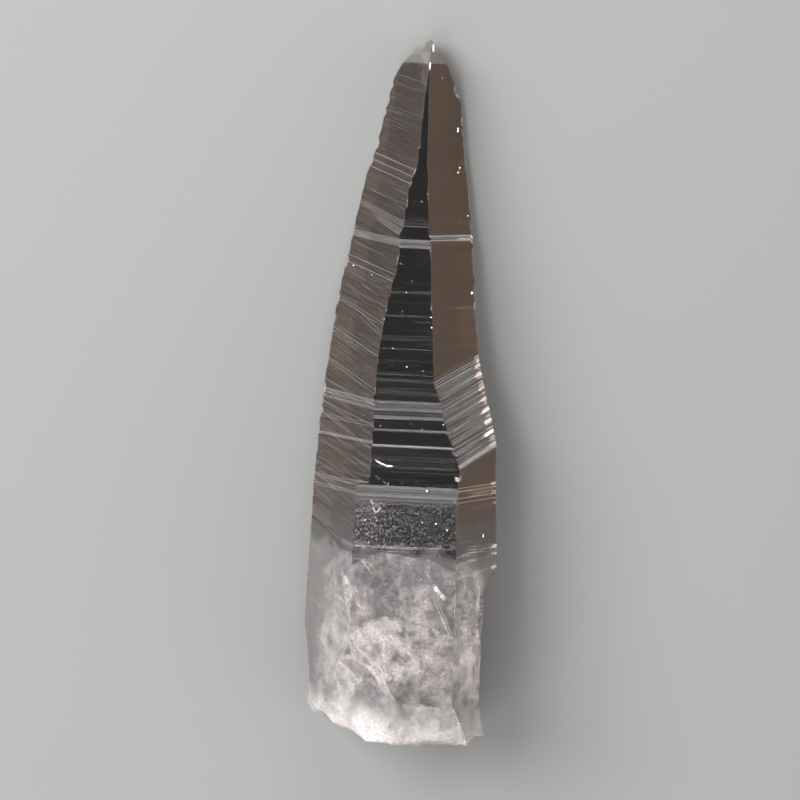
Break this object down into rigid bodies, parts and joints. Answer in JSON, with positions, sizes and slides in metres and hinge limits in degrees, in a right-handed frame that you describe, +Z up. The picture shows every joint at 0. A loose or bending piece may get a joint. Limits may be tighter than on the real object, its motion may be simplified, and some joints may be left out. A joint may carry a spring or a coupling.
{
  "type": "lemurian quartz crystal",
  "caption": "Clear tapering quartz point with ladder-like growth rungs across its long faces, a pyramid tip and a rough broken base, lying on its flattest face.",
  "frame": {"origin": "middle of the box's underside, on the surface that the crystal lies on", "axes": "+Y along the crystal towards its point, +Z up out of the face opposite the one it lies on, +X across"},
  "size_m": [0.0364, 0.1352, 0.0287],
  "materials": {
    "clear_quartz": "natural growth faces, clear and glossy, finely lined across; milky towards the broken base"
  },
  "bodies": {
    "root": {"quartz_crystal": "clear_quartz"}
  },
  "joints": []
}
